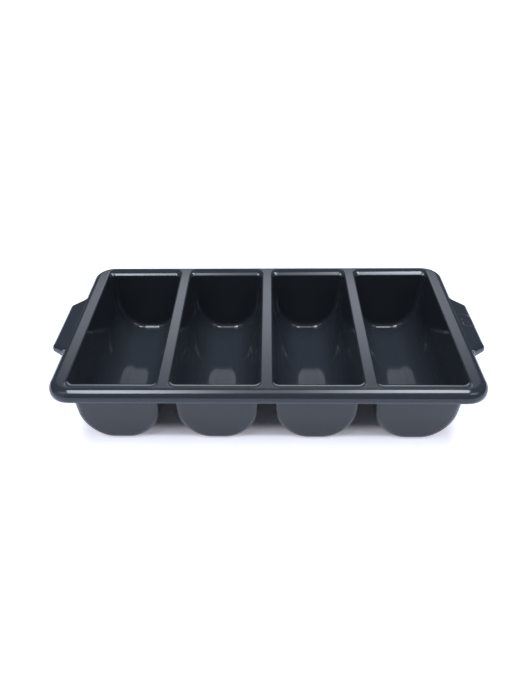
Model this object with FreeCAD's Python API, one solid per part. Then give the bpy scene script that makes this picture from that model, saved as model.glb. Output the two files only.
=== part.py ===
"""Four-compartment cutlery box: one thin-walled moulding, written out as named regions.

Frame: millimetres, +Z up, +X along the length through both grips, +Y to the back.
The origin is on the table, under the middle of the box.

The whole moulding is shaped first, as one shell with a constant wall. It is then divided
along flat planes into the regions that a person would name. Neighbouring regions meet
face to face on those planes, as the plastic runs on through them in the real moulding.
"""
import FreeCAD
import Part
import math
import os

V = FreeCAD.Vector

# ---- Driving dimensions (mm, degrees) ----
BIN_COUNT = 4
WALL = 2.5                  # thickness of every wall, floor and deck
BOX_HEIGHT = 95.0           # table to the flat top of the rim
BIN_LENGTH = 250.4          # inside length of a compartment at the rim, front to back
TROUGH_RADIUS = 47.6        # inside radius of the rounded trough
FLOOR_STRIP = 16.0          # width of the flat strip along the middle of a floor
FOOT_RADIUS = 33.0          # blend between the flat strip and the trough
SIDE_DRAFT = 5.6            # lean of a compartment's side walls
END_DRAFT = 3.0             # lean of its front and back walls
CORNER_RADIUS = 7.5         # inside radius where an end wall meets the trough
LIP_RADIUS = 2.6            # rounded long edges of an opening
END_LIP_REACH = 9.9         # a front or back edge is drawn out this far over the rim,
END_LIP_DEPTH = 6.0         # in a flat curve that starts this far below the rim's top
DIVIDER_LAND = 10.0         # flat top between two openings
SIDE_LAND = 9.9             # flat top outside the first and last opening
END_LAND = 0.8              # flat top in front of and behind the openings
RIM_ROUND = 10.5            # large outer rounding of the rim
RIM_CORNER_RADIUS = 31.0    # outer corners of the rim, seen from above
SKIRT_DEPTH = 14.0          # rim top to the lower edge of its skirt

GRIP_REACH = 17.4           # how far a grip stands out from the rim
GRIP_ROOT_LENGTH = 120.0    # length of a grip where it leaves the rim
GRIP_EDGE_LENGTH = 93.0     # length of its outer edge
GRIP_CORNER_RADIUS = 7.0    # its outer corners, seen from above
GRIP_ROUND = 6.4            # rounding between the top of a grip and its skirt
GRIP_SLOPE = 8.0            # fall of its top face towards the outside
GRIP_DROP = 0.6             # how far its top starts below the rim's top

PLATE_LENGTH = 26.0         # blank sunk plate on the right grip, front to back
PLATE_WIDTH = 14.0
PLATE_DEPTH = 0.6
PLATE_OFFSET = 6.0          # middle of the plate behind the middle of the grip
PLATE_CHAMFER = 4.5         # cut corner of the plate, outside at the back
PLATE_SETBACK = 3.6         # outer edge of the plate to the outer edge of the grip

DECK_DEPTH = 4.0            # rim top to the plane that parts the deck from the tubs
CLEAR = 5.0                 # how far a cutting solid runs past what it cuts
CORNER_STEPS = 3            # flat steps around the rounding at the foot of an end wall
LIP_STEPS = 2               # flat steps around an opening's lip
GRIP_STEPS = 5              # flat steps around each rounding of a grip

# ---- What follows from them ----
side_lean = math.tan(math.radians(SIDE_DRAFT))
end_lean = math.tan(math.radians(END_DRAFT))
side_cos = math.cos(math.radians(SIDE_DRAFT))
end_cos = math.cos(math.radians(END_DRAFT))
blend_reach = TROUGH_RADIUS - FOOT_RADIUS
blend_x = FLOOR_STRIP / 2
blend_z = WALL + FOOT_RADIUS
axis_z = blend_z + math.sqrt(blend_reach ** 2 - blend_x ** 2)


def trough_half_width(z, offset=0.0):
    """Half the width between the side walls at height z, above the trough's round part."""
    return (TROUGH_RADIUS + offset) / side_cos + (z - axis_z) * side_lean


def tub_half_length(z, offset=0.0):
    """Half the length between the end walls at height z."""
    return BIN_LENGTH / 2 - (BOX_HEIGHT - z) * end_lean + offset / end_cos


def lip_half_width(z):
    """Half width of an opening at height z: the side wall, then a quarter round."""
    turn = math.asin(min(1.0, max((z - lip_centre) / LIP_RADIUS, side_sin)))
    return opening_half_width - LIP_RADIUS * math.cos(turn) - max(lip_foot - z, 0) * side_lean


def lip_half_length(z, inset=0.0):
    """Half length of an opening at height z: the end wall, then a quarter ellipse."""
    rise = (z - end_lip_foot) / (END_LIP_DEPTH - inset)
    return opening_half_length - (END_LIP_REACH - inset) * math.sqrt(max(1 - rise ** 2, 0.0))


side_sin = math.sin(math.radians(SIDE_DRAFT))
lip_centre = BOX_HEIGHT - LIP_RADIUS
lip_foot = lip_centre + LIP_RADIUS * side_sin
end_lip_foot = BOX_HEIGHT - END_LIP_DEPTH
opening_half_width = (trough_half_width(BOX_HEIGHT)
                      + LIP_RADIUS * math.tan(math.radians((90.0 - SIDE_DRAFT) / 2)))
opening_half_length = tub_half_length(end_lip_foot) + END_LIP_REACH
pitch = 2 * opening_half_width + DIVIDER_LAND
bin_centres = [(i - (BIN_COUNT - 1) / 2) * pitch for i in range(BIN_COUNT)]
rim_half_length = bin_centres[-1] + opening_half_width + SIDE_LAND + RIM_ROUND
rim_half_width = opening_half_length + END_LAND + RIM_ROUND
skirt_bottom = BOX_HEIGHT - SKIRT_DEPTH
deck_bottom = BOX_HEIGHT - DECK_DEPTH
grip_edge = rim_half_length + GRIP_REACH
grip_fall = math.tan(math.radians(GRIP_SLOPE))


# ---- Small helpers ----
def polar(x, z, radius, angle):
    """Point of the XZ plane at this radius and angle from (x, z)."""
    return V(x + radius * math.cos(angle), 0, z + radius * math.sin(angle))


def arc(x, z, radius, start, end):
    """Circular edge in the XZ plane about (x, z), between two angles in radians."""
    middle = (start + end) / 2
    return Part.Arc(polar(x, z, radius, start), polar(x, z, radius, middle),
                    polar(x, z, radius, end)).toShape()


def box(x0, x1, y0, y1, z0, z1):
    """Box between two opposite corners."""
    return Part.makeBox(x1 - x0, y1 - y0, z1 - z0, V(x0, y0, z0))


def prism(points, direction):
    """Solid swept straight along direction from a closed polygon."""
    return Part.Face(Part.makePolygon(points + points[:1])).extrude(direction)


def edges_at(shape, z):
    """Edges that lie wholly in the level plane at height z."""
    return [e for e in shape.Edges
            if abs(e.BoundBox.ZMin - z) < 1e-4 and abs(e.BoundBox.ZMax - z) < 1e-4]


def upright_edges(shape):
    """Straight edges that run straight up."""
    return [e for e in shape.Edges
            if e.BoundBox.XLength < 1e-4 and e.BoundBox.YLength < 1e-4]


def quarter_turn(steps):
    """Angles that divide a quarter turn into equal steps."""
    return [math.pi / 2 * step / steps for step in range(steps + 1)]


def flat_face(face):
    """The same face on a true plane, facing the same way."""
    low_u, high_u, low_v, high_v = face.ParameterRange
    outward = face.normalAt((low_u + high_u) / 2, (low_v + high_v) / 2)
    flat = Part.Face(face.findPlane(), face.OuterWire)
    if flat.normalAt(0, 0).dot(outward) < 0:
        flat.reverse()
    return flat


def ruled_solid(sections):
    """Solid through closed sections, with true planes wherever its faces are flat."""
    faces = Part.makeLoft(sections, True, True).Faces
    faces = [flat_face(face) if face.findPlane() else face for face in faces]
    return Part.Solid(Part.Shell(faces))


# ---- A compartment ----
def trough_profile(offset, top):
    """Closed section of a compartment across its length, grown outwards by offset.

    A flat strip of floor runs through a blend into the round trough, which runs
    tangent into two straight, leaning side walls.
    """
    radius = TROUGH_RADIUS + offset
    blend = FOOT_RADIUS + offset
    low = math.atan2(blend_z - axis_z, blend_x)
    high = -math.radians(SIDE_DRAFT)
    floor_z = blend_z - blend
    half_top = trough_half_width(top, offset)

    right_foot = arc(blend_x, blend_z, blend, -math.pi / 2, low)
    right_arc = arc(0, axis_z, radius, low, high)
    left_arc = arc(0, axis_z, radius, -math.pi - high, -math.pi - low)
    left_foot = arc(-blend_x, blend_z, blend, -math.pi - low, -math.pi / 2)
    wall_start = polar(0, axis_z, radius, high)
    right_top = V(half_top, 0, top)
    left_top = V(-half_top, 0, top)
    return Part.Wire([
        Part.makeLine(V(-blend_x, 0, floor_z), V(blend_x, 0, floor_z)),
        right_foot,
        right_arc,
        Part.makeLine(wall_start, right_top),
        Part.makeLine(right_top, left_top),
        Part.makeLine(left_top, V(-wall_start.x, 0, wall_start.z)),
        left_arc,
        left_foot,
    ])


def end_section(x, depth, offset, top, side):
    """Section of a compartment parallel to one end wall, this far inside that wall."""
    lean = FreeCAD.Matrix()
    lean.A14 = x
    lean.A23 = side * end_lean
    lean.A24 = side * (tub_half_length(0) - depth / end_cos)
    return trough_profile(offset, top).transformGeometry(lean)


def tub(x, offset, top):
    """Solid of one compartment, grown by offset.

    Sections parallel to an end wall grow from the flat part of that wall to the full
    trough, and so carry the rounded corner all round the end of the trough.
    """
    corner = CORNER_RADIUS + offset
    rounding = [(corner * (1 - math.cos(turn)) - offset, offset - corner * (1 - math.sin(turn)))
                for turn in quarter_turn(CORNER_STEPS)]
    front = [end_section(x, depth, grown, top, -1) for depth, grown in rounding]
    back = [end_section(x, depth, grown, top, 1) for depth, grown in reversed(rounding)]
    return ruled_solid(front + back)


def opening_outline(x, z, half_width, half_length, corner):
    """Closed outline of an opening at height z, with rounded corners."""
    quarter = [(half_width - corner * (1 - math.sin(turn)) / side_cos,
                half_length - corner * (1 - math.cos(turn)) / end_cos)
               for turn in quarter_turn(CORNER_STEPS)]
    right = quarter + [(px, -py) for px, py in reversed(quarter)]
    around = right + [(-px, py) for px, py in reversed(right)]
    points = [V(x + px, py, z) for px, py in around]
    return Part.makePolygon(points + points[:1])


def lip(x):
    """Solid that opens a compartment to the top and rounds the edges of that opening."""
    start = math.radians(SIDE_DRAFT)
    turns = [start + (math.pi / 2 - start) * step / LIP_STEPS for step in range(LIP_STEPS + 1)]
    heights = [end_lip_foot, (end_lip_foot + lip_foot) / 2]
    heights += [lip_centre + LIP_RADIUS * math.sin(turn) for turn in turns]
    sections = []
    for z in heights:
        spread = lip_half_length(z) - lip_half_length(end_lip_foot)
        sections.append(opening_outline(x, z, lip_half_width(z), lip_half_length(z),
                                        CORNER_RADIUS + spread / 2))
    sections.append(opening_outline(x, BOX_HEIGHT + CLEAR, opening_half_width,
                                    opening_half_length, CORNER_RADIUS + END_LIP_REACH / 2))
    return ruled_solid(sections)


def lip_backing(x):
    """Plastic under the drawn-out edges, one wall thickness below their surface."""
    depth = END_LIP_DEPTH - WALL
    sections = []
    for turn in quarter_turn(LIP_STEPS):
        z = end_lip_foot + depth * math.sin(turn)
        spread = lip_half_length(z, WALL) - lip_half_length(end_lip_foot, WALL)
        sections.append(opening_outline(x, z, trough_half_width(z, WALL),
                                        lip_half_length(z, WALL),
                                        CORNER_RADIUS + WALL + spread / 2))
    z += WALL / 2
    sections.append(opening_outline(x, z, trough_half_width(z, WALL), opening_half_length,
                                    CORNER_RADIUS + (WALL + END_LIP_REACH) / 2))
    return ruled_solid(sections)


# ---- The rim and the grips ----
def rim_block(inset):
    """Solid of the rim without its openings, its sides and top drawn in by inset."""
    half_x = rim_half_length - inset
    half_y = rim_half_width - inset
    bottom = skirt_bottom - (CLEAR if inset else 0)
    block = box(-half_x, half_x, -half_y, half_y, bottom, BOX_HEIGHT - inset)
    block = block.makeFillet(RIM_CORNER_RADIUS - inset, upright_edges(block))
    return block.makeFillet(RIM_ROUND - inset, edges_at(block, BOX_HEIGHT - inset))


def grip_outline(inset):
    """Outline of the right grip at height zero, drawn in by inset from its free sides."""
    inner_x = rim_half_length - RIM_ROUND
    edge_x = grip_edge - inset
    run = (GRIP_ROOT_LENGTH - GRIP_EDGE_LENGTH) / 2
    slant = math.hypot(GRIP_REACH, run)
    edge_y = GRIP_EDGE_LENGTH / 2 + (run - slant) * inset / GRIP_REACH
    inner_y = edge_y + (edge_x - inner_x) * run / GRIP_REACH

    radius = max(GRIP_CORNER_RADIUS - inset, CLEAR / 20)
    turn = math.atan2(GRIP_REACH, run)
    centre_x = edge_x - radius
    centre_y = edge_y - radius * math.tan(turn / 2)
    corner = [(centre_x + radius * math.cos(turn * step / GRIP_STEPS),
               centre_y + radius * math.sin(turn * step / GRIP_STEPS))
              for step in range(GRIP_STEPS + 1)]
    back = corner + [(inner_x, inner_y)]
    points = [V(x, y, 0) for x, y in back] + [V(x, -y, 0) for x, y in reversed(back)]
    return Part.makePolygon(points + points[:1])


def grip_top(x):
    """Height of a grip's sloping top face at this distance from the middle of the box."""
    return BOX_HEIGHT - GRIP_DROP - (x - rim_half_length + RIM_ROUND) * grip_fall


def grip_block(inset):
    """Solid of the right grip, drawn in by inset, from inside the rim to its outer edge."""
    foot = grip_outline(inset)
    foot.translate(V(0, 0, skirt_bottom - (CLEAR if inset else 0)))
    sections = [foot]
    rounding = GRIP_ROUND - inset
    for turn in quarter_turn(GRIP_STEPS):
        below = inset * math.hypot(1, grip_fall) + rounding * (1 - math.sin(turn))
        slope = FreeCAD.Matrix()
        slope.A31 = -grip_fall
        slope.A34 = grip_top(0) - below
        outline = grip_outline(inset + rounding * (1 - math.cos(turn)))
        sections.append(outline.transformGeometry(slope))
    return ruled_solid(sections)


def mirrored(shape):
    """The same shape on the other end of the box."""
    return shape.mirror(V(0, 0, 0), V(1, 0, 0))


def plate_recess():
    """Solid that sinks the blank plate into the right grip, level with its sloping top."""
    outer_x = grip_edge - PLATE_SETBACK
    inner_x = outer_x - PLATE_WIDTH
    front_y = PLATE_OFFSET - PLATE_LENGTH / 2
    back_y = PLATE_OFFSET + PLATE_LENGTH / 2
    outline = [(inner_x, front_y), (outer_x, front_y), (outer_x, back_y - PLATE_CHAMFER),
               (outer_x - PLATE_CHAMFER, back_y), (inner_x, back_y)]
    points = [V(x, y, grip_top(x) - PLATE_DEPTH) for x, y in outline]
    return prism(points, V(0, 0, PLATE_DEPTH + CLEAR))


# ---- The whole moulding ----
def moulding():
    """The complete box as one shell."""
    right = grip_block(0)
    right_hollow = grip_block(WALL)
    outside = rim_block(0).fuse([right, mirrored(right)])
    inside = rim_block(WALL).fuse([right_hollow, mirrored(right_hollow)])
    shell = outside.cut(inside)
    shell = shell.fuse([tub(x, WALL, BOX_HEIGHT - WALL / 2) for x in bin_centres]
                       + [lip_backing(x) for x in bin_centres])
    shell = shell.cut([tub(x, 0, lip_foot) for x in bin_centres]
                      + [lip(x) for x in bin_centres] + [plate_recess()])
    return shell.removeSplitter()


# ---- Its regions ----
def regions(shell):
    """Names and solids of the regions, cut apart along flat planes."""
    wide = grip_edge + CLEAR
    deep = rim_half_width + CLEAR
    high = BOX_HEIGHT + CLEAR
    tub_y = (lip_half_length(deck_bottom, WALL) + opening_half_length) / 2
    rail_y = rim_half_width - RIM_CORNER_RADIUS
    grip_x = rim_half_length - RIM_ROUND
    grip_y = (GRIP_ROOT_LENGTH + GRIP_REACH) / 2
    side_x = bin_centres[-1]
    named = {}

    tub_boxes = [box(x - pitch / 2, x + pitch / 2, -tub_y, tub_y, -CLEAR, deck_bottom)
                 for x in bin_centres]
    for number, cell in enumerate(tub_boxes, 1):
        named[f"bin_{number}"] = shell.common(cell)
    deck = shell.cut(tub_boxes)

    for number in range(1, BIN_COUNT):
        middle = (bin_centres[number - 1] + bin_centres[number]) / 2
        named[f"divider_{number}"] = deck.common(
            box(middle - pitch / 2, middle + pitch / 2, -rail_y, rail_y, 0, high))

    named["front_rail"] = deck.common(box(-wide, wide, -deep, -rail_y, 0, high))
    named["back_rail"] = deck.common(box(-wide, wide, rail_y, deep, 0, high))

    right_side = deck.common(box(side_x, wide, -rail_y, rail_y, 0, high))
    left_side = deck.common(box(-wide, -side_x, -rail_y, rail_y, 0, high))
    right_grip_box = box(grip_x, wide, -grip_y, grip_y, 0, high)
    left_grip_box = box(-wide, -grip_x, -grip_y, grip_y, 0, high)
    named["right_rail"] = right_side.cut(right_grip_box)
    named["left_rail"] = left_side.cut(left_grip_box)
    named["right_grip"] = right_side.common(right_grip_box)
    named["left_grip"] = left_side.common(left_grip_box)
    return named


def main():
    os.makedirs("parts", exist_ok=True)
    shell = moulding()
    size = shell.optimalBoundingBox()
    print(f"moulding {size.XLength:.1f} x {size.YLength:.1f} x {size.ZLength:.1f} mm,"
          f" valid {shell.isValid()}, solids {len(shell.Solids)},"
          f" volume {shell.Volume / 1000:.1f} cm3")
    for name, shape in regions(shell).items():
        solid = shape.Solids[0] if len(shape.Solids) == 1 else shape
        print(f"{name}: solids {len(shape.Solids)}, valid {shape.isValid()},"
              f" volume {shape.Volume / 1000:.2f} cm3")
        solid.exportStep(f"parts/{name}.step")


main()
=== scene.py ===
# %% [markdown]
# # A cutlery box with four compartments
#
# The real thing is one injection moulding in dark, glossy plastic. Four round-bottomed
# compartments hang from one deck. A rolled rim with a short skirt runs round the deck, and
# a grip stands out at each end.
#
# Gloss shows every flat facet, so each region of the moulding gets a smooth skin here.
# A skin is a set of points worked out with numpy, together with the exact direction that
# the surface faces at each point. The regions carry the names of the solids they replace.

# %% Load the fixed frame
import math

import bpy
import numpy as np
from mathutils import Matrix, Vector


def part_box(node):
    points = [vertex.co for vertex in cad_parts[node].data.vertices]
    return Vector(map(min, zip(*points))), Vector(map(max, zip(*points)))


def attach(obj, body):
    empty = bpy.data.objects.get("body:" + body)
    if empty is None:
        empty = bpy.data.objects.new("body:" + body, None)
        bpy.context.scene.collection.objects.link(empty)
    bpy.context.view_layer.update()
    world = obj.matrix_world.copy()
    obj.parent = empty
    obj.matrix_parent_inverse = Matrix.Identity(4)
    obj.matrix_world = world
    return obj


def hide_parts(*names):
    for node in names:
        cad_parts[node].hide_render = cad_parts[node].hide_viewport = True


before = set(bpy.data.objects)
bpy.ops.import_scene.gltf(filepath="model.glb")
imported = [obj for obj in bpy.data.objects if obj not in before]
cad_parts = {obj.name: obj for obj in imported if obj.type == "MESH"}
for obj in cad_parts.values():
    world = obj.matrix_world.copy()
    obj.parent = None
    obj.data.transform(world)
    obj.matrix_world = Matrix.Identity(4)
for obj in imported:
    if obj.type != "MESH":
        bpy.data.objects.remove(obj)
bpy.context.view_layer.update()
print("solids to dress:", ", ".join(sorted(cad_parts)))

# %% [markdown]
# ## The sizes
#
# All sizes are millimetres until the points go into a mesh. Most are the values that the
# solids are built from. The end walls, the lips above them, the rim's corners and the grips'
# edges are refined here by a millimetre or two. The cell below compares the sum of the sizes
# with the frame.

# %% Sizes of the moulding
MM = 0.001
WALL = 2.5
BOX_HEIGHT = 95.0
BIN_LENGTH = 247.0
TROUGH_RADIUS = 47.6
FLOOR_STRIP = 16.0
FOOT_RADIUS = 33.0
SIDE_DRAFT = math.radians(5.6)
END_DRAFT = math.radians(1.9)
CORNER_RADIUS = 7.5
LIP_RADIUS = 2.6
END_LIP_RUN = 12.03
END_LIP_DEPTH = 5.0
END_LIP_SLOPE = math.tan(math.radians(6.0))
DIVIDER_LAND = 10.0
SIDE_LAND = 9.9
END_LAND = 0.055
RIM_ROUND = 10.5
RIM_CORNER_RADIUS = 28.5
SKIRT_DEPTH = 14.0
EDGE_ROUND = 0.6

# %% Places that follow from the sizes
blend_x = FLOOR_STRIP / 2
blend_z = WALL + FOOT_RADIUS
axis_z = blend_z + math.sqrt((TROUGH_RADIUS - FOOT_RADIUS) ** 2 - blend_x ** 2)
side_lean, end_lean = math.tan(SIDE_DRAFT), math.tan(END_DRAFT)
side_run = LIP_RADIUS * math.tan((math.pi / 2 - SIDE_DRAFT) / 2)
mouth_half_width = (TROUGH_RADIUS / math.cos(SIDE_DRAFT)
                    + (BOX_HEIGHT - axis_z) * side_lean + side_run)
mouth_half_length = BIN_LENGTH / 2 + END_LIP_RUN
pitch = 2 * mouth_half_width + DIVIDER_LAND
centres = [(i - 1.5) * pitch for i in range(4)]
land_x = centres[-1] + mouth_half_width + SIDE_LAND
land_y = mouth_half_length + END_LAND
rim_x, rim_y = land_x + RIM_ROUND, land_y + RIM_ROUND
skirt_z = BOX_HEIGHT - SKIRT_DEPTH
round_z = BOX_HEIGHT - RIM_ROUND
deck_z = BOX_HEIGHT - WALL
cut_y = rim_y - RIM_CORNER_RADIUS
print(f"rim here {2 * rim_x:.2f} x {2 * rim_y:.2f} mm,"
      f" in the frame {2000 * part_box('front_rail')[1][0]:.2f} mm long")

# %% [markdown]
# ## From points to a mesh
#
# A skin is a grid of points with a grid of facing directions. Flat bands close the edge
# between two skins, so every piece is a closed solid.

# %% Skins and bands
NO_AREA = 1e-6
UP = np.array([0.0, 0.0, 1.0])


def unit(vectors):
    """Each vector divided by its own length."""
    return vectors / np.linalg.norm(vectors, axis=-1, keepdims=True)


def angles(first, last, count):
    """Evenly spaced angles, given in degrees, as radians."""
    return np.radians(np.linspace(first, last, count))


def skin(points, facing):
    """Quads of a grid: corner (i, j) joins (i+1, j), (i+1, j+1) and (i, j+1)."""
    rows, columns = points.shape[:2]
    index = np.arange(rows * columns).reshape(rows, columns)
    quads = np.stack([index[:-1, :-1], index[1:, :-1], index[1:, 1:], index[:-1, 1:]], -1)
    facing = np.broadcast_to(np.asarray(facing, float), points.shape)
    return points.reshape(-1, 3), facing.reshape(-1, 3), quads.reshape(-1, 4)


def square_to(corners):
    """Direction square to each quad: the cross product of its two diagonals."""
    return np.cross(corners[:, 2] - corners[:, 0], corners[:, 3] - corners[:, 1])


def band(first, second, outward):
    """Flat quads between two lines of points. They face the side that outward points to."""
    corners = np.stack([first[:-1], first[1:], second[1:], second[:-1]], 1)
    normal = square_to(corners)
    keep = np.linalg.norm(normal, axis=1) > NO_AREA
    outward = np.broadcast_to(np.asarray(outward, float), first.shape)[:-1][keep]
    corners, normal = corners[keep], unit(normal[keep])
    normal *= np.sign(np.sum(normal * outward, axis=1, keepdims=True))
    count = len(corners)
    return (corners.reshape(-1, 3), np.repeat(normal, 4, axis=0),
            np.arange(4 * count).reshape(count, 4))


# %% [markdown]
# The grids of a piece share their edge points, and those are welded here. The facing
# directions are then stored as custom normals, so a reflection runs on over the seam between
# two pieces without a break. Blender keeps a custom normal apart from its neighbour's only
# where the edge between them is marked sharp.

# %% Join, weld and mark
WELD_GRID = 2e-4
SAME_FACING = 0.02


def join(parts):
    """All parts as one set of points, facings and quads, each quad turned to its facing."""
    points = np.concatenate([part[0] for part in parts])
    facing = np.concatenate([part[1] for part in parts])
    starts = np.cumsum([0] + [len(part[0]) for part in parts[:-1]])
    quads = np.concatenate([part[2] + start for part, start in zip(parts, starts)])
    normal = square_to(points[quads])
    keep = np.linalg.norm(normal, axis=1) > NO_AREA
    quads, normal = quads[keep], normal[keep]
    away = np.sum(normal * facing[quads].sum(axis=1), axis=1) < 0
    quads[away] = quads[away][:, ::-1]
    return points, facing, quads


def weld(points, quads):
    """Points in one cell of a fine grid become one point. A quad may become a triangle."""
    _, first, welded = np.unique(np.round(points / WELD_GRID), axis=0,
                                 return_index=True, return_inverse=True)
    corners = welded.reshape(-1)[quads]
    repeated = corners == np.roll(corners, 1, axis=1)
    keep = repeated.sum(axis=1) < 2
    return first, corners[keep], ~repeated[keep], quads[keep]


def mark_sharp(mesh, facing, sizes):
    """An edge is sharp where the faces on its two sides have different facings."""
    edge = np.zeros(len(facing), np.int32)
    mesh.loops.foreach_get("edge_index", edge)
    ends = np.cumsum(sizes) - 1
    following = np.arange(len(facing)) + 1
    following[ends] -= sizes
    order = np.argsort(edge, kind="stable")
    first = np.searchsorted(edge[order], np.arange(len(mesh.edges)))
    paired = np.bincount(edge, minlength=len(mesh.edges)) == 2
    a, b = order[first[paired]], order[first[paired] + 1]
    apart = np.maximum(np.linalg.norm(facing[a] - facing[following[b]], axis=1),
                       np.linalg.norm(facing[following[a]] - facing[b], axis=1))
    sharp = np.ones(len(mesh.edges), bool)
    sharp[paired] = apart > SAME_FACING
    mesh.attributes.new("sharp_edge", "BOOLEAN", "EDGE").data.foreach_set("value", sharp)


# %% Make a piece
pieces = {}


def make_piece(node, name, parts):
    """Mesh object of skins and bands, kept under the name of the solid that it replaces."""
    points, facing, quads = join(parts)
    first, corners, own, quads = weld(points, quads)
    sizes = own.sum(axis=1)

    mesh = bpy.data.meshes.new(name)
    mesh.vertices.add(len(first))
    mesh.vertices.foreach_set("co", (points[first] * MM).astype(np.float32).ravel())
    mesh.loops.add(int(sizes.sum()))
    mesh.loops.foreach_set("vertex_index", corners[own].astype(np.int32))
    mesh.polygons.add(len(sizes))
    mesh.polygons.foreach_set("loop_start", (np.cumsum(sizes) - sizes).astype(np.int32))
    mesh.polygons.foreach_set("use_smooth", np.ones(len(sizes), bool))
    mesh.update(calc_edges=True)
    mesh.validate()
    facing = unit(facing[quads[own]])
    mark_sharp(mesh, facing, sizes)
    mesh.normals_split_custom_set(facing.tolist())

    pieces[node] = bpy.data.objects.new(name, mesh)
    bpy.context.scene.collection.objects.link(pieces[node])
    print(f"{name}: {len(first)} points, {len(sizes)} faces")


def shifted(parts, x):
    """Parts moved along x."""
    return [(points + [x, 0, 0], facing, quads) for points, facing, quads in parts]


def mirrored(parts, sign):
    """Parts with points and facings multiplied by a sign for each axis."""
    return [(points * sign, facing * sign, quads) for points, facing, quads in parts]


def closed(top, under, inner_out, near_out, far_out):
    """Closed solid between two grids: both skins and the four bands round their edges."""
    return [skin(*top), skin(*under),
            band(top[0][0], under[0][0], inner_out), band(top[0][-1], under[0][-1], -UP),
            band(top[0][:, 0], under[0][:, 0], near_out),
            band(top[0][:, -1], under[0][:, -1], far_out)]


# %% [markdown]
# ## A compartment
#
# Across its length a compartment is a flat strip of floor, a blend, a round trough and two
# leaning walls. At its ends a ball of 7.5 mm radius has rolled round the trough along the end
# wall. The centre of that ball draws a line that is the same for the inside and for the
# outside, which is why the plastic is equally thick all round the corner.
#
# Only a quarter is worked out. Every loop of the quarter runs along the side wall, turns
# round the corner ball and runs across the end wall to the middle. The loop has one point
# where the rails are cut from the dividers, just before the corner.

# %% Places along a loop
SIDE_STEPS, TURN_STEPS, END_STEPS = 12, 18, 12
CUT_SHARE = 0.975
CUT_POINT = SIDE_STEPS

turn_share = np.linspace(0, 1, TURN_STEPS + 1)
end_share = np.linspace(1, 0, END_STEPS + 1)[1:]
along_y = np.r_[np.linspace(0, 1, SIDE_STEPS, endpoint=False) * CUT_SHARE, CUT_SHARE,
                np.ones(TURN_STEPS + 1 + END_STEPS)]
along_x = np.r_[np.ones(SIDE_STEPS + 1 + TURN_STEPS + 1), end_share]
turned = np.r_[np.zeros(SIDE_STEPS + 1), turn_share, np.ones(END_STEPS)]


def turn_between(start, end, share):
    """Great-circle turn: both unit vectors weighted by sines of their parts of the angle."""
    angle = np.arccos(np.sum(start * end, axis=-1, keepdims=True))
    return (np.sin((1 - share) * angle) * start + np.sin(share * angle) * end) / np.sin(angle)


end_normal = np.array([0.0, math.cos(END_DRAFT), -math.sin(END_DRAFT)])
wall_normal = np.array([math.cos(SIDE_DRAFT), 0.0, -math.sin(SIDE_DRAFT)])
corner_normal = turn_between(wall_normal, end_normal, turned[:, None])
print(f"loops of {len(turned)} points a quarter")

# %% Walls and trough
WALL_ROWS, TROUGH_ROWS, FOOT_ROWS = 12, 34, 14
ball_reach = TROUGH_RADIUS - CORNER_RADIUS
wall_foot_z = axis_z - ball_reach * math.sin(SIDE_DRAFT)
wall_foot_x = ball_reach * math.cos(SIDE_DRAFT)


def ball_centre(x, z):
    """Where the corner ball's centre is, for its x and its height along the end wall."""
    y = (BIN_LENGTH / 2 - (BOX_HEIGHT - z) * end_lean) - CORNER_RADIUS / math.cos(END_DRAFT)
    return np.stack(np.broadcast_arrays(along_x * x, along_y * y, z), -1)


def wall_centre(z):
    """The ball's centre while it climbs the leaning side wall in a straight line."""
    return ball_centre(wall_foot_x + (z - wall_foot_z) * side_lean, z)


def wall_rows(top_z):
    """Leaning walls: rows of ball centres from top_z down to the trough, without the first."""
    share = np.linspace(1, 0, WALL_ROWS)[1:, None]
    centre = wall_centre(wall_foot_z + share * (top_z - wall_foot_z))
    return centre, np.broadcast_to(corner_normal, centre.shape)


def trough_rows():
    """Round part: the ball's centre follows two arcs, the trough's and then the blend's."""
    lowest = math.degrees(math.atan2(axis_z - blend_z, blend_x))
    arc = -angles(math.degrees(SIDE_DRAFT), lowest, TROUGH_ROWS)[1:]
    foot = -angles(lowest, 90, FOOT_ROWS)[1:]
    foot_reach = FOOT_RADIUS - CORNER_RADIUS
    x = np.r_[ball_reach * np.cos(arc), blend_x + foot_reach * np.cos(foot)]
    z = np.r_[axis_z + ball_reach * np.sin(arc), blend_z + foot_reach * np.sin(foot)]
    angle = np.r_[arc, foot]
    side = np.stack([np.cos(angle), 0 * angle, np.sin(angle)], -1)[:, None, :]
    normal = turn_between(side, end_normal, turned[:, None])
    centre = ball_centre(x[:, None], z[:, None])
    return centre, np.broadcast_to(normal, centre.shape)


lip_foot_z = BOX_HEIGHT - END_LIP_DEPTH
print(f"walls end {lip_foot_z:.1f} mm up")

# %% [markdown]
# At the top a wall is drawn outwards over the deck. Along the sides this lip is small and
# round. At the front and the back it is a long, flat quarter of an ellipse, and the corner
# of the opening moves outwards with it. The light runs along these edges.

# %% The lip of an opening
LIP_ROWS, HIDDEN_LIP_ROWS = 41, 13
LEAST_DEPTH = 1e-7


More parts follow.
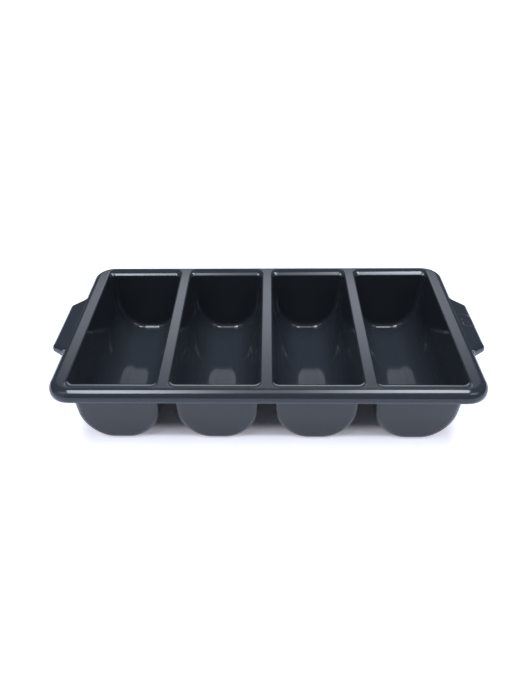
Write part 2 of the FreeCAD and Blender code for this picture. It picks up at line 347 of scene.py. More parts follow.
def lip_rows(grown, top_z, end_reach, side_reach, crest_slope, count):
    """Lip from its crest down to the wall, by a turn t that goes from 90 degrees to 0.

    The end is drawn out by end_reach * (1 - cos(t)) while the height grows with sin(t),
    plus a straight slope up to the crest. The side follows a round of its own over the last
    stretch of that height. The facing is square to the two directions of the surface.
    """
    depth = top_z - lip_foot_z
    side_depth = LIP_RADIUS * (1 - math.sin(SIDE_DRAFT))
    turn = angles(90, 0, count)[:, None]
    sloped = crest_slope * end_reach
    height = (depth - sloped) * np.sin(turn) + sloped * (1 - np.cos(turn))
    climb = (depth - sloped) * np.cos(turn) + sloped * np.sin(turn)
    wall = wall_centre(lip_foot_z + height - grown * corner_normal[:, 2])
    wall = wall + grown * corner_normal

    below = np.clip((depth - height) / side_depth, LEAST_DEPTH, 1)
    round_off = np.sqrt(below * (2 - below))
    side = side_reach * (1 - round_off)
    side_rate = side_reach * (1 - below) / round_off * climb / side_depth
    end, end_rate = end_reach * (1 - np.cos(turn)), end_reach * np.sin(turn)

    flat = unit(corner_normal * [1, 1, 0])
    points = wall + side[..., None] * flat
    points[..., 1] += (end - side) * along_y
    lean = flat[:, 0] * side_lean + flat[:, 1] * end_lean
    rise = climb * lean + (end_rate - side_rate) * flat[:, 1] + side_rate
    return points, unit(rise[..., None] * UP - climb[..., None] * flat)


# %% Inside and outside of a compartment
def quarter(grown, lip):
    """Rows from the lip to the floor, at a distance from the ball's centre. Facing out."""
    wall, wall_out = wall_rows(lip_foot_z - grown * corner_normal[:, 2])
    trough, trough_out = trough_rows()
    return (np.concatenate([lip[0], wall + grown * wall_out, trough + grown * trough_out]),
            np.concatenate([-lip[1], wall_out, trough_out]))


def inside_quarter():
    """The inside, turned to face inwards."""
    lip = lip_rows(CORNER_RADIUS, BOX_HEIGHT, END_LIP_RUN, side_run, END_LIP_SLOPE, LIP_ROWS)
    points, facing = quarter(CORNER_RADIUS, lip)
    return points, -facing


def outside_quarter():
    """The same outside, one wall thickness further out, from the deck downwards."""
    grown = CORNER_RADIUS + WALL
    reach = END_LIP_RUN - WALL / math.cos(END_DRAFT) + WALL * end_lean
    return quarter(grown, lip_rows(grown, deck_z, reach, 0.0, 0.0, HIDDEN_LIP_ROWS))


def whole_loop(grid):
    """Closed loops from a quarter: the quarter, then its mirror images in x and in y."""
    back = np.concatenate([grid, (grid * [-1, 1, 1])[:, -2::-1]], axis=1)
    return np.concatenate([back, (back * [1, -1, 1])[:, -2::-1]], axis=1)


def floor_grid(points, facing):
    """Flat strip of floor: straight lines in x between the two sides of the last loop."""
    span = np.r_[end_share[::-1], 1.0]
    share = np.r_[-span[::-1], span[1:]][None, :, None]
    side = slice(0, SIDE_STEPS + TURN_STEPS + 2)
    line, out = points[-1, side], facing[-1, side]
    line = np.concatenate([(line * [1, -1, 1])[:0:-1], line])
    out = np.concatenate([(out * [1, -1, 1])[:0:-1], out])
    grid = line[:, None, :] * [0, 1, 1] + share * line[:, None, :] * [1, 0, 0]
    return grid, np.broadcast_to(out[:, None, :], grid.shape)


inside_points, inside_facing = inside_quarter()
outside_points, outside_facing = outside_quarter()
lip_x, tub_x = inside_points[0, 0, 0], outside_points[0, 0, 0]
print("inside rows", len(inside_points), "outside rows", len(outside_points))

# %% Make the four compartments
def compartment():
    """Closed solid: inside skin, outside skin, both floors and the hidden band at the deck."""
    parts = []
    for points, facing in ((inside_points, inside_facing), (outside_points, outside_facing)):
        parts.append(skin(whole_loop(points), whole_loop(facing)))
        parts.append(skin(*floor_grid(points, facing)))
    top, under = whole_loop(inside_points)[0], whole_loop(outside_points)[0]
    return parts + [band(top, under, top * [1, 1, 0])]


tub = compartment()
for number, centre in enumerate(centres, 1):
    make_piece(f"bin_{number}", f"bin_skin_{number}", shifted(tub, centre))

# %% [markdown]
# ## The deck and the rolled rim
#
# The deck is flat between the openings. Its outer line is a rectangle with round corners,
# and the rim's profile is carried along that line: a large quarter circle, then the skirt
# straight down to a lower edge that is slightly rounded.

# %% Profile of the rim
ROLL_ROWS, EDGE_ROWS = 25, 6


def rim_profile(radius, side):
    """Reach, height and facing of the quarter circle, the skirt and its lower edge.

    The side is 1 for the outside and -1 for the hollow, which faces the other way.
    """
    roll, edge = angles(0, 90, ROLL_ROWS), angles(0, 90, EDGE_ROWS)[1:]
    reach = np.r_[radius * np.sin(roll), radius - side * EDGE_ROUND * (1 - np.cos(edge))]
    z = np.r_[round_z + radius * np.cos(roll), skirt_z + EDGE_ROUND * (1 - np.sin(edge))]
    out = side * np.r_[np.sin(roll), np.cos(edge)]
    up = np.r_[side * np.cos(roll), -np.sin(edge)]
    return reach, z, out, up


def along_line(line, normal, profile):
    """Profile carried along a line: each row is the line moved out and set to a height."""
    reach, z, out, up = (value[:, None, None] for value in profile)
    return line * [1, 1, 0] + reach * normal + z * UP, out * normal + up * UP


outside_profile = rim_profile(RIM_ROUND, 1)
hollow_profile = rim_profile(RIM_ROUND - WALL, -1)

# %% The deck's outer line
corner_reach = RIM_CORNER_RADIUS - RIM_ROUND
corner_run = corner_reach * math.pi / 2
straight_run = 2 * (land_x - corner_reach)


def outer_line(length):
    """Point and outward normal of the deck's back line: arc, straight run, arc."""
    turn = np.clip(length / corner_reach, 0, math.pi / 2)
    turn = turn + np.clip((length - corner_run - straight_run) / corner_reach, 0, math.pi / 2)
    normal = np.stack([-np.cos(turn), np.sin(turn), 0 * turn], -1)
    middle = np.clip(length - corner_run, 0, straight_run) - straight_run / 2
    line = np.stack([middle, 0 * middle + cut_y, 0 * middle], -1)
    return line + corner_reach * normal, normal


print(f"deck line: corners {corner_run:.1f} mm, straight {straight_run:.1f} mm")

# %% [markdown]
# The back rail runs from one side to the other behind the openings and takes in the round
# ends of their lips. Its inner edge follows the lips and the ends of the dividers. Each of
# its points is joined to a point of the outer line in the same order, so that the flat top
# is covered once. The front rail is its mirror image.

# %% Back and front rails
CORNER_COLUMNS = 22
SLANT_WEIGHT = 0.25
NEAREST_LAND = 0.001


def inner_line(grid):
    """Inner edge of the back rail: cut line, lip, cut line, and so on, left to right."""
    right_half = grid[0, CUT_POINT:].copy()
    right_half[0, 1] = cut_y
    opening = np.concatenate([right_half * [-1, 1, 1], right_half[::-1][1:]])
    line = [opening + [centre, 0, 0] for centre in centres]
    ends = np.linspace(-land_x, line[0][0, 0], CORNER_COLUMNS)[:-1]
    left = np.stack([ends, 0 * ends + cut_y, 0 * ends + line[0][0, 2]], -1)
    return np.concatenate([left, *line, left[::-1] * [-1, 1, 1]])


def outer_share(line):
    """Distance along the outer line for each inner point, in step at every compartment."""
    step = np.diff(line, axis=0)
    weight = np.maximum(np.abs(step[:, 0]),
                        SLANT_WEIGHT * np.linalg.norm(step[:, :2], axis=1))
    run = np.r_[0, np.cumsum(weight)]
    off_land = NEAREST_LAND * np.abs(line[:, 1] - land_y)
    middles = [int(np.argmin(np.abs(line[:, 0] - centre) + off_land)) for centre in centres]
    goals = [corner_run + straight_run / 2 + centre for centre in centres]
    return np.interp(run, run[[0, *middles, len(line) - 1]],
                     [0, *goals, 2 * corner_run + straight_run])


def rail_grid(grid, profile, up):
    """Flat part from the inner edge to the outer line, then the profile down the rim."""
    inner = inner_line(grid)
    line, normal = outer_line(outer_share(inner))
    points, facing = along_line(line, normal, profile)
    flat = np.broadcast_to(up, inner.shape)
    return np.concatenate([inner[None], points]), np.concatenate([flat[None], facing])


rail_top = rail_grid(inside_points, outside_profile, UP)
rail_under = rail_grid(outside_points, hollow_profile, -UP)
to_opening = unit(rail_top[0][0] - rail_top[0][1])
rail = closed(rail_top, rail_under, to_opening, [0, -1, 0], [0, -1, 0])
make_piece("back_rail", "rim_skin_back", rail)
make_piece("front_rail", "rim_skin_front", mirrored(rail, [1, -1, 1]))

# %% [markdown]
# ## Dividers
#
# Between two compartments the deck is a flat bar. Its long edges are the lips' upper lines,
# and below them it ends at the outer faces of the two tubs.

# %% Dividers
def bar(top_x, under_x, y0, y1):
    """Straight bar with a flat top and underside between two pairs of x values."""
    def level(xs, z):
        return np.array([[[x, y, z] for y in (y0, y1)] for x in xs])
    top, under = level(top_x, BOX_HEIGHT), level(under_x, deck_z)
    return [skin(top, UP), skin(under, -UP),
            band(top[0], under[0], [-1, 0, 0]), band(top[-1], under[-1], [1, 0, 0]),
            band(top[:, 0], under[:, 0], [0, -1, 0]), band(top[:, 1], under[:, 1], [0, 1, 0])]


half_top, half_under = pitch / 2 - lip_x, pitch / 2 - tub_x
divider = bar((-half_top, half_top), (-half_under, half_under), -cut_y, cut_y)
for number, (left, right) in enumerate(zip(centres, centres[1:]), 1):
    make_piece(f"divider_{number}", f"divider_skin_{number}",
               shifted(divider, (left + right) / 2))
print(f"divider top {2 * half_top:.2f} mm wide")

# %% [markdown]
# ## Grips
#
# A grip grows out of the rim. Its top falls outwards, its ends are slanted, its edges are
# rounded and a small fillet leads into it from the rim. The shape is found as a distance
# field: the rim's field and the grip's field are joined with a smooth minimum. In the
# formulas a is the distance outwards from the deck's outer line.

# %% Distance field of rim and grip
GRIP_REACH = 17.4
GRIP_ROOT_LENGTH = 120.0
GRIP_EDGE_LENGTH = 93.0
GRIP_CORNER_RADIUS = 7.0
GRIP_ROUND = 7.5
GRIP_FALL = math.tan(math.radians(8.0))
GRIP_DROP = 0.6
GRIP_HALF = 70.0
ROOT_FILLET = 2.4
FILLET_LEAST = 0.05
FILLET_RUN = 5.0

slant_run = (GRIP_ROOT_LENGTH - GRIP_EDGE_LENGTH) / 2
slant = unit(np.array([slant_run, GRIP_REACH]))
edge_reach = RIM_ROUND + GRIP_REACH


def grip_plan(a, y):
    """Distance inside the grip's outline: nearest side, or the corner circle past its ends."""
    y = np.abs(y)
    front = edge_reach - a
    side = (edge_reach - a) * slant[0] + (GRIP_EDGE_LENGTH / 2 - y) * slant[1]
    turn = math.atan2(slant[1], slant[0])
    centre_a = edge_reach - GRIP_CORNER_RADIUS
    centre_y = GRIP_EDGE_LENGTH / 2 - GRIP_CORNER_RADIUS * math.tan(turn / 2)
    da, dy = a - centre_a, y - centre_y
    in_corner = (dy > 0) & (da * slant[1] - dy * slant[0] > 0)
    corner = GRIP_CORNER_RADIUS - np.hypot(da, dy)
    return np.where(in_corner, corner, np.minimum(front, side))


def field(a, y, z):
    """Smooth minimum of the rim's and the grip's rounded fields. It is zero on the surface."""
    rim = np.hypot(np.maximum(a, 0), np.maximum(z - round_z, 0)) - RIM_ROUND
    outside = GRIP_ROUND - grip_plan(a, y)
    above = z - (BOX_HEIGHT - GRIP_DROP - a * GRIP_FALL) + GRIP_ROUND
    grip = (np.hypot(np.maximum(outside, 0), np.maximum(above, 0))
            + np.minimum(np.maximum(outside, above), 0) - GRIP_ROUND)
    blend = FILLET_LEAST + ROOT_FILLET * np.clip(a / FILLET_RUN, 0, 1) ** 2
    near = np.maximum(blend - np.abs(rim - grip), 0) / blend
    return np.minimum(rim, grip) - near ** 2 * blend / 4


# %% [markdown]
# Rays start inside the plastic, and each one is followed until the field is zero. The first
# rays go straight up under the flat part. Then a fan turns over the rounding, and the last
# ones go straight outwards to the skirt. The slope of the field where a ray ends is the
# exact facing of the surface.

# %% Rays to the surface of a grip
GRIP_KNOTS = (-70, -62, -50, -40, -9, 21, 40, 50, 62, 70)
COLUMNS_BETWEEN = (8, 26, 20, 24, 64, 16, 20, 26, 8)
TOP_ROWS, FAN_ROWS, SKIRT_ROWS = 62, 40, 5
FAN_INSET, FAN_LEAST, FAN_HEIGHT = 6.6, 2.5, 2.6
RAY_REACH = 60.0
HALVINGS = 40


def grip_columns():
    """Places along the grip: closer together over its corners and over the sunk plate."""
    spans = zip(GRIP_KNOTS, GRIP_KNOTS[1:], COLUMNS_BETWEEN)
    return np.concatenate([np.linspace(a, b, n, endpoint=False) for a, b, n in spans]
                          + [[GRIP_KNOTS[-1]]])


def follow(start, direction, y):
    """Halve the stretch of each ray that holds the surface, forty times."""
    low = np.zeros(start.shape[:-1])
    high = np.full(low.shape, RAY_REACH)
    for _ in range(HALVINGS):
        middle = (low + high) / 2
        inside = field(start[..., 0] + direction[..., 0] * middle, y,
                       start[..., 1] + direction[..., 1] * middle) < 0
        low, high = np.where(inside, middle, low), np.where(inside, high, middle)
    return start + direction * low[..., None]


def pairs(a, z):
    """Two values as the last axis of one array, repeated to the same shape."""
    return np.stack(np.broadcast_arrays(a, z), -1)


def grip_surface():
    """Rays up from the flat part, then a fan over the rounding, then straight outwards."""
    y = grip_columns()[None, :]
    edge_z, fan_z = skirt_z + EDGE_ROUND, skirt_z + FAN_HEIGHT
    foot = follow(np.broadcast_to([0.0, edge_z], (1, y.size, 2)), np.array([1.0, 0.0]), y)
    fan_a = np.maximum(foot[0, :, 0] - FAN_INSET, FAN_LEAST)
    share = np.linspace(0, 1, TOP_ROWS)[:, None]
    turn = angles(0, 90, FAN_ROWS)[1:, None]
    drop = np.linspace(fan_z, edge_z, SKIRT_ROWS)[1:, None]
    rise, fan = pairs(share * fan_a, fan_z), pairs(fan_a + 0 * turn, fan_z)
    down = pairs(fan_a[None], drop)
    direction = np.concatenate([np.broadcast_to([0.0, 1.0], rise.shape),
                                np.broadcast_to(pairs(np.sin(turn), np.cos(turn)), fan.shape),
                                np.broadcast_to([1.0, 0.0], down.shape)])
    found = follow(np.concatenate([rise, fan, down]), direction, y)
    return found[..., 0], np.broadcast_to(y, found.shape[:2]), found[..., 1]


# %% Skin of a grip
SMALL_STEP = 1e-3


def slope(a, y, z):
    """Unit gradient of the field from differences of two points on each axis."""
    step = SMALL_STEP
    return unit(np.stack([field(a + step, y, z) - field(a - step, y, z),
                          field(a, y + step, z) - field(a, y - step, z),
                          field(a, y, z + step) - field(a, y, z - step)], -1))


grip_places = grip_surface()
grip_out = slope(*grip_places)
grip_points = np.stack(grip_places, -1)
print("grip grid", grip_points.shape[:2], f"reach {grip_points[..., 0].max():.2f} mm")

# %% [markdown]
# The right grip has a small sunk plate with one cut corner. It is a place for a mark, and
# it is left bare. Its outline is another distance field, and the surface goes down by the
# plate's depth over a narrow slope at that outline.

# %% Sunk plate
PLATE_DEPTH = 0.6
PLATE_SLOPE = 0.45
PLATE_MARGIN = 3.6
PLATE_WIDTH = 14.0
PLATE_HALF_LENGTH = 13.0
PLATE_MIDDLE = 6.0
PLATE_CUT = 4.5
plate_a = (edge_reach - PLATE_MARGIN - PLATE_WIDTH, edge_reach - PLATE_MARGIN)
plate_y = (PLATE_MIDDLE - PLATE_HALF_LENGTH, PLATE_MIDDLE + PLATE_HALF_LENGTH)


def plate_depth(a, y):
    """Depth of the plate: full inside its outline, none outside, a smooth step between."""
    inside = np.minimum.reduce([
        a - plate_a[0], plate_a[1] - a, y - plate_y[0], plate_y[1] - y,
        (plate_a[1] - a + plate_y[1] - y - PLATE_CUT) / math.sqrt(2)])
    share = np.clip(inside / PLATE_SLOPE + 0.5, 0, 1)
    return PLATE_DEPTH * share * share * (3 - 2 * share)


def sunk(points, facing):
    """Points lowered by the plate's depth, and facings tipped by the slope of that depth."""
    a, y, step = points[..., 0], points[..., 1], SMALL_STEP
    tip = np.stack([plate_depth(a + step, y) - plate_depth(a - step, y),
                    plate_depth(a, y + step) - plate_depth(a, y - step),
                    0 * a], -1) / (2 * step)
    return points - plate_depth(a, y)[..., None] * UP, unit(facing + tip)


# %% Make both grips
def lower_edge(points, facing):
    """Small quarter round under the skirt, from the last row of points, set at the rim."""
    edge = angles(0, 90, EDGE_ROWS)[1:, None, None]
    flat = unit(facing[-1] * [1, 1, 0])
    centre = points[-1] - EDGE_ROUND * flat
    out = np.cos(edge) * flat - np.sin(edge) * UP
    return (np.concatenate([points, centre + EDGE_ROUND * out]) + [land_x, 0, 0],
            np.concatenate([facing, out]))


def grip_parts(with_plate):
    """Closed solid: outer skin, the same skin one wall thickness further in, and bands."""
    hollow = grip_points - WALL * grip_out
    hollow[..., 2][-1] = skirt_z + EDGE_ROUND
    outer = sunk(grip_points, grip_out) if with_plate else (grip_points, grip_out)
    return closed(lower_edge(*outer), lower_edge(hollow, -grip_out),
                  [-1, 0, 0], [0, -1, 0], [0, 1, 0])


make_piece("right_grip", "grip_skin_right", grip_parts(True))
make_piece("left_grip", "grip_skin_left", mirrored(grip_parts(False), [-1, 1, 1]))

# %% [markdown]
# ## Side rails
#
# A side rail is the flat strip beside the last compartment. In front of the grip and behind
# it, the rail takes in the rim as well, down to the skirt's lower edge.

# %% Side rails
RIM_COLUMNS = 14
strip_top, strip_under = centres[-1] + lip_x, centres[-1] + tub_x


def side_rim(y0, y1, end_out):
    """Rim beside a compartment from y0 to y1: flat strip, rolled edge and skirt.

    The column next to the grip joins the strip there, so only its rim part is closed.
    """
    y = np.linspace(y0, y1, RIM_COLUMNS)
    line = np.stack([0 * y + land_x, y, 0 * y], -1)
    normal = np.broadcast_to([1.0, 0.0, 0.0], line.shape)
    grids = []
    for start_x, flat_z, facing, profile in (
            (strip_top, BOX_HEIGHT, UP, outside_profile),
            (strip_under, deck_z, -UP, hollow_profile)):
        points, out = along_line(line, normal, profile)
        strip = np.stack([0 * y + start_x, y, 0 * y + flat_z], -1)
        grids.append((np.concatenate([strip[None], points]),
                      np.concatenate([np.broadcast_to(facing, strip.shape)[None], out])))
    top, under = grids
    grip, far = (0, -1) if end_out > 0 else (-1, 0)
    return [skin(*top), skin(*under), band(top[0][0], under[0][0], [-1, 0, 0]),
            band(top[0][-1], under[0][-1], -UP),
            band(top[0][1:, grip], under[0][1:, grip], [0, -end_out, 0]),
            band(top[0][:, far], under[0][:, far], [0, end_out, 0])]


beside_grip = bar((strip_top, land_x), (strip_under, land_x), -GRIP_HALF, GRIP_HALF)[:4]
side_rail = side_rim(GRIP_HALF, cut_y, 1) + side_rim(-cut_y, -GRIP_HALF, -1) + beside_grip
make_piece("right_rail", "rail_skin_right", side_rail)
make_piece("left_rail", "rail_skin_left", mirrored(side_rail, [-1, 1, 1]))

# %% [markdown]
# ## The plastic
#
# Dark grey plastic with a slight blue cast, moulded in a polished tool. Its gloss is strong
# but never perfect. The skin waves a little where the plastic shrank, the tool's polish
# leaves it faintly uneven, and cutlery draws fine scratches along the troughs. A number
# that is the same everywhere is set on the shader. Only what varies comes from nodes.

# %% Shader maths in plain expressions
class Value:
    """A node socket that can be used in sums and products. Each one adds a Math node."""

    def __init__(self, tree, socket=None):
        self.tree, self.socket = tree, socket

    def node(self, kind, settings=None, **inputs):
        """Add any node: settings first, then its inputs by name, or i0, i1 by number."""
        node = self.tree.nodes.new(kind)
        for key, value in (settings or {}).items():
            setattr(node, key, value)
        for key, value in inputs.items():
            numbered = key[0] == "i" and key[1:].isdigit()
            socket = node.inputs[int(key[1:]) if numbered else key.replace("_", " ")]
            if isinstance(value, Value):
                self.tree.links.new(value.socket, socket)
            else:
                socket.default_value = value
        return node

    def output(self, kind, name=0, settings=None, **inputs):
        """One output of a new node, wrapped again."""
        return Value(self.tree, self.node(kind, settings, **inputs).outputs[name])

    def math(self, operation, *values):
        """A Math node on these values."""
        inputs = {f"i{i}": value for i, value in enumerate(values)}
        return self.output("ShaderNodeMath", 0, {"operation": operation}, **inputs)

    def __add__(self, other):
        return self.math("ADD", self, other)

    def __sub__(self, other):
        return self.math("SUBTRACT", self, other)

    def __rsub__(self, other):
        return self.math("SUBTRACT", other, self)

    def __mul__(self, other):
        return self.math("MULTIPLY", self, other)

    def __truediv__(self, other):
        return self.math("DIVIDE", self, other)

    def __abs__(self):
        return self.math("ABSOLUTE", self)

    __radd__, __rmul__ = __add__, __mul__

    def axes(self):
        """The x, y and z of a vector."""
        split = self.node("ShaderNodeSeparateXYZ", Vector=self)
        return [Value(self.tree, output) for output in split.outputs]

    def step(self, low, high):
        """Smooth step from 0 at low to 1 at high."""
        return self.output("ShaderNodeMapRange", 0, {"interpolation_type": "SMOOTHSTEP"},
                           i0=self, i1=low, i2=high, i3=0.0, i4=1.0)

    def below(self, low, high):
        """Smooth step from 1 at low to 0 at high."""
        return 1 - self.step(low, high)

    def between(self, rise, fall):
        """Smooth step up over one pair of values and down again over another."""
        return self.step(*rise) * self.below(*fall)


# %% The moulding's material
PLASTIC = (0.0242, 0.0290, 0.0355, 1)
PLASTIC_WORN = (0.0300, 0.0345, 0.0410, 1)
REFRACTION = 1.5
SCRATCHED_HEIGHT = (0.004, 0.042)
SCRATCH_STRETCH = (1.0, 0.05, 1.0)
WAVE_HEIGHT, GRAIN_HEIGHT, SCRATCH_DEPTH = 0.00003, 0.0000045, 0.000002


def moulded_plastic():
    """Glossy dark plastic: even colour, soft waves, fine grain and scratches in the floors."""
    material = bpy.data.materials.new("moulded_plastic")
    material.use_nodes = True
    tree = material.node_tree
    shader = tree.nodes["Principled BSDF"]
    start = Value(tree)
    place = start.output("ShaderNodeTexCoord", "Object")
    lengthways = start.output("ShaderNodeMapping", 0, Vector=place, Scale=SCRATCH_STRETCH)

    def noise(per_metre, detail, where=place):
        return start.output("ShaderNodeTexNoise", "Fac", Vector=where, Scale=per_metre,
                            Detail=detail, Roughness=0.5)

    cloud, smudges, waves = noise(9.0, 3.0), noise(26.0, 2.0), noise(38.0, 1.0)
    polish, grain = noise(160.0, 2.0), noise(700.0, 2.0)
    scuffs = (noise(420.0, 3.0, lengthways).step(0.60, 0.74) * smudges.step(0.42, 0.62)
              * place.axes()[2].below(*SCRATCHED_HEIGHT))

    colour = start.output("ShaderNodeMix", "Result", {"data_type": "RGBA"},
                          i0=scuffs * 0.4 + cloud * 0.2, i6=PLASTIC, i7=PLASTIC_WORN)
    rough = 0.07 + cloud * 0.03 + polish * 0.02 + scuffs * 0.05
    height = waves * WAVE_HEIGHT + grain * GRAIN_HEIGHT - scuffs * SCRATCH_DEPTH
    bump = start.output("ShaderNodeBump", "Normal", Height=height, Strength=0.35, Distance=1.0)
    tree.links.new(colour.socket, shader.inputs["Base Color"])
    tree.links.new(rough.socket, shader.inputs["Roughness"])
    tree.links.new(bump.socket, shader.inputs["Normal"])
    shader.inputs["IOR"].default_value = REFRACTION
    return material


# %% Dress the solids
plastic = moulded_plastic()
for node, piece in pieces.items():
    piece.data.materials.append(plastic)
    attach(piece, "root")
    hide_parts(node)
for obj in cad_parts.values():
    for slot in obj.material_slots:
        slot.material = plastic
print("plastic on", len(pieces), "pieces")

# %% [markdown]
# ## Floor
#
# The floor is plain and pale. Lamps that made it white would also flatten the dark gloss,
# so the last part of its brightness is a glow that only some rays meet: those from the
# camera, and those that gloss mirrors or glass bends. This glow is painted light. It is
# stronger behind and beside the box and close to its front, where it paints out the box's
# shadow. It is cut in drawn zones under the box, which is painted shade on top of the real
# shadow there.

# %% Glow of the floor: painted light and painted shade
# Painted light on the floor, stronger behind and close to the box, and painted shade that cuts
# it under the box.
FLOOR_GLOW, PAINTED_LIGHT_BEHIND, PAINTED_LIGHT_CLOSE = 0.06, 0.30, 0.20
PAINTED_SHADE, DEEP_PAINTED_SHADE = 0.62, 0.36


def seen_by(start, *kinds):
    """1 for rays of these kinds and 0 for all others."""
    path = start.node("ShaderNodeLightPath")
    seen = Value(start.tree, path.outputs[f"Is {kinds[0]} Ray"])
    for kind in kinds[1:]:
        seen = start.math("MAXIMUM", seen, Value(start.tree, path.outputs[f"Is {kind} Ray"]))
    return seen


def floor_glow(start):
    """Strength of the painted light on the floor, from zones with soft edges in metres, cut
    under the box as painted shade.
    """
    x, y = start.output("ShaderNodeTexCoord", "Object").axes()[:2]
    side = abs(x)
    # Painted light behind and beside the box, where the box's shadow would darken the floor.
    behind = y.step(-0.22, -0.14) * (1 - side.step(0.28, 0.42) * y.below(0.0, 0.2))
    # Painted light: extra glow close to the box's front paints out its shadow there.
    shadow_fill = side.below(0.24, 0.28) * y.between((-0.155, -0.128), (-0.05, 0.05))
    # Painted shade: the glow is cut under the box, and cut more further in.
    under = side.below(0.172, 0.196) * y.between((-0.119, -0.111), (0.06, 0.13))
    deep_shade_zone = under * y.step(-0.110, -0.092)
    return (seen_by(start, "Camera", "Glossy", "Transmission")
            * (FLOOR_GLOW + behind * PAINTED_LIGHT_BEHIND + shadow_fill * PAINTED_LIGHT_CLOSE)
            * (1 - under * PAINTED_SHADE - deep_shade_zone * DEEP_PAINTED_SHADE))


# %% Floor
FLOOR_HALF = 8.0
FLOOR_COLOUR = (0.85, 0.895, 1.0, 1)
PAINTED_LIGHT_COLOUR = (1.0, 0.98, 1.04, 1)


def pale_floor():
    """Large flat square in a plain pale material, with the glow of painted light and painted
    shade added to it.
    """
    xy = np.array([[-1, -1], [1, -1], [1, 1], [-1, 1]]) * FLOOR_HALF
    mesh = bpy.data.meshes.new("floor")
    mesh.from_pydata([(x, y, 0.0) for x, y in xy], [], [(0, 1, 2, 3)])
    floor = bpy.data.objects.new("floor", mesh)
    bpy.context.scene.collection.objects.link(floor)
    material = bpy.data.materials.new("pale_floor")
    material.use_nodes = True
    tree = material.node_tree
    shader = tree.nodes["Principled BSDF"]
    shader.inputs["Base Color"].default_value = FLOOR_COLOUR
    shader.inputs["Roughness"].default_value = 0.8
    shader.inputs["Specular IOR Level"].default_value = 0.0
    start = Value(tree)
    glow = start.node("ShaderNodeEmission", Color=PAINTED_LIGHT_COLOUR, Strength=floor_glow(start))
    both = start.node("ShaderNodeAddShader")
    tree.links.new(shader.outputs[0], both.inputs[0])
    tree.links.new(glow.outputs[0], both.inputs[1])
    tree.links.new(both.outputs[0], tree.nodes["Material Output"].inputs["Surface"])
    mesh.materials.append(material)
    return floor


floor = pale_floor()

# %% [markdown]
# ## Light
#
# The light is a studio's, drawn on the sky that surrounds the scene. Two soft boxes hang
# overhead, close together and turned a little. Two faint lights stand beside them, nearer
# to the camera. A broad panel with a bright foot stands behind the box, and little light
# comes from the camera's side. Each light is where a direction goes: sideways and
# forwards for every metre up, or sideways and up for every metre back.
#
# The camera sees the sky as white. Gloss mirrors the lights themselves, because they are
# what draws the bright lines along the edges of the box.

# %% Lights by direction
LEAST_SHARE = 0.02
HIGH_UP = (0.3, 0.4)
BOX_TURN = 0.6
BOX_DEPTH, BOX_HALF_WIDTH = ((-0.44, -0.37), (0.34, 0.42)), (0.32, 0.42)
WING_DEPTH, WING_WIDTH = ((-0.80, -0.62), (-0.32, -0.15)), ((0.40, 0.55), (1.1, 1.3))
PANEL_HEIGHT = ((0.54, 0.60), (0.88, 0.93))


def per_metre(value, along):
    """How far a direction goes one way for every metre that it goes along another."""
    return value / value.math("MAXIMUM", along, LEAST_SHARE)


def light_above(x, y, z):
    """Soft boxes, brighter away from the line between them, and a faint light on each side."""
    sideways, forwards = per_metre(x, z), per_metre(y, z)
    side = abs(sideways)
    boxes = ((forwards - sideways * BOX_TURN).between(*BOX_DEPTH)
             * side.below(*BOX_HALF_WIDTH) * (1.9 + side.step(0.02, 0.27) * 9.6))
    wings = (forwards.between(*WING_DEPTH) * side.between(*WING_WIDTH)
             * (0.9 + x.step(-0.1, 0.1) * 1.5))
    return (boxes + wings) * z.step(*HIGH_UP)


def light_behind(x, y, z):
    """Panel that is brightest at its lower edge, over a dim stretch and a bright foot."""
    side, rise = abs(per_metre(x, y)), per_metre(z, y)
    panel = rise.between(*PANEL_HEIGHT) * (2.0 - rise.step(0.66, 0.87) * 1.2)
    stretch = rise.below(*PANEL_HEIGHT[0]) * 0.25 + rise.below(0.16, 0.22) * 1.7
    return ((panel + stretch) * (1 - side.step(0.23, 0.31) * 0.30) * side.below(0.40, 0.53)
            * y.step(0.0, 0.05) * z.step(-0.02, 0.0))


def light_in_front(x, y, z):
    """Dim light from the camera's side, a little stronger from far left."""
    side = abs(per_metre(x, 0 - y))
    return (y.below(-0.35, 0.05) * z.step(0.0, 0.1)
            * (0.10 + side.step(0.4, 1.0) * (0.35 - x.step(-0.2, 0.2) * 0.35)))


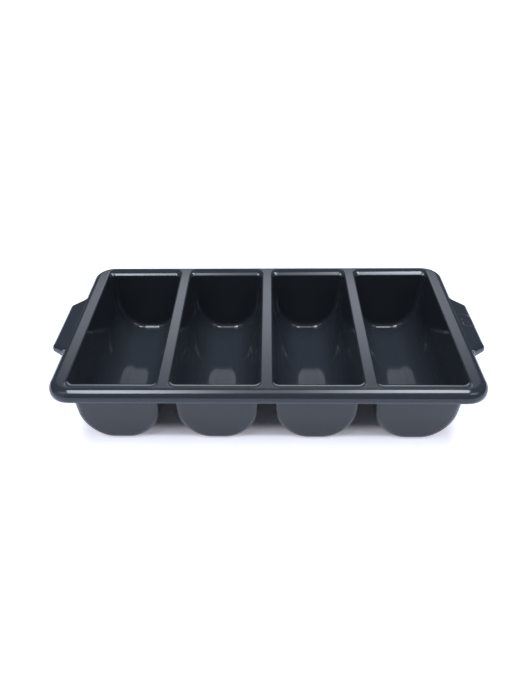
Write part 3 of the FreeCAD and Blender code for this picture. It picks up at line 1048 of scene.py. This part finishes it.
# %% Studio light
ROOM = 0.06
LIGHT_COLOUR = (0.935, 0.985, 1.11, 1)
WHITE = (1, 1, 1, 1)


def studio_world():
    """The room and its lights for every ray but the camera's, and white for the camera."""
    world = bpy.data.worlds.new("studio")
    world.use_nodes = True
    tree = world.node_tree
    background = tree.nodes["Background"]
    start = Value(tree)
    way = start.output("ShaderNodeTexCoord", "Generated").axes()
    room = ROOM + light_above(*way) + light_behind(*way) + light_in_front(*way)
    seen = seen_by(start, "Camera", "Transmission")
    strength = room + seen * (1 - room)
    colour = start.output("ShaderNodeMix", "Result", {"data_type": "RGBA"},
                          i0=seen, i6=LIGHT_COLOUR, i7=WHITE)
    tree.links.new(strength.socket, background.inputs["Strength"])
    tree.links.new(colour.socket, background.inputs["Color"])
    bpy.context.scene.world = world


studio_world()
print("light from above, from behind and from the front")

# %% [markdown]
# ## Camera
#
# The camera looks down on the box from the front. Its focal length is given in pixels of a
# picture of 525 x 700, and the middle of its view lies a little left of the picture's
# middle, which is what the lens shift is for.

# %% Camera
IMAGE = (525, 700)
FOCAL = 616.8
VIEW_MIDDLE_X = 253.5
SENSOR = 36.0
CAMERA_PLACE = (0.00236, -0.66645, 0.55056)
PITCH, YAW, ROLL = (math.radians(angle) for angle in (37.06, 1.77, -1.02))
camera_data = bpy.data.cameras.new("camera")
camera_data.sensor_fit = "AUTO"
camera_data.sensor_width = SENSOR
camera_data.lens = FOCAL * SENSOR / max(IMAGE)
camera_data.shift_x = (IMAGE[0] / 2 - VIEW_MIDDLE_X) / max(IMAGE)
camera_data.clip_end = 30.0
camera = bpy.data.objects.new("camera", camera_data)
camera.matrix_world = (Matrix.Translation(CAMERA_PLACE)
                       @ Matrix.Rotation(YAW, 4, "Z")
                       @ Matrix.Rotation(math.pi / 2 - PITCH, 4, "X")
                       @ Matrix.Rotation(ROLL, 4, "Z"))
bpy.context.scene.collection.objects.link(camera)
bpy.context.scene.camera = camera
bpy.context.scene.view_settings.view_transform = "Standard"
print(f"lens {camera_data.lens:.2f} mm, shift {camera_data.shift_x:.4f}")
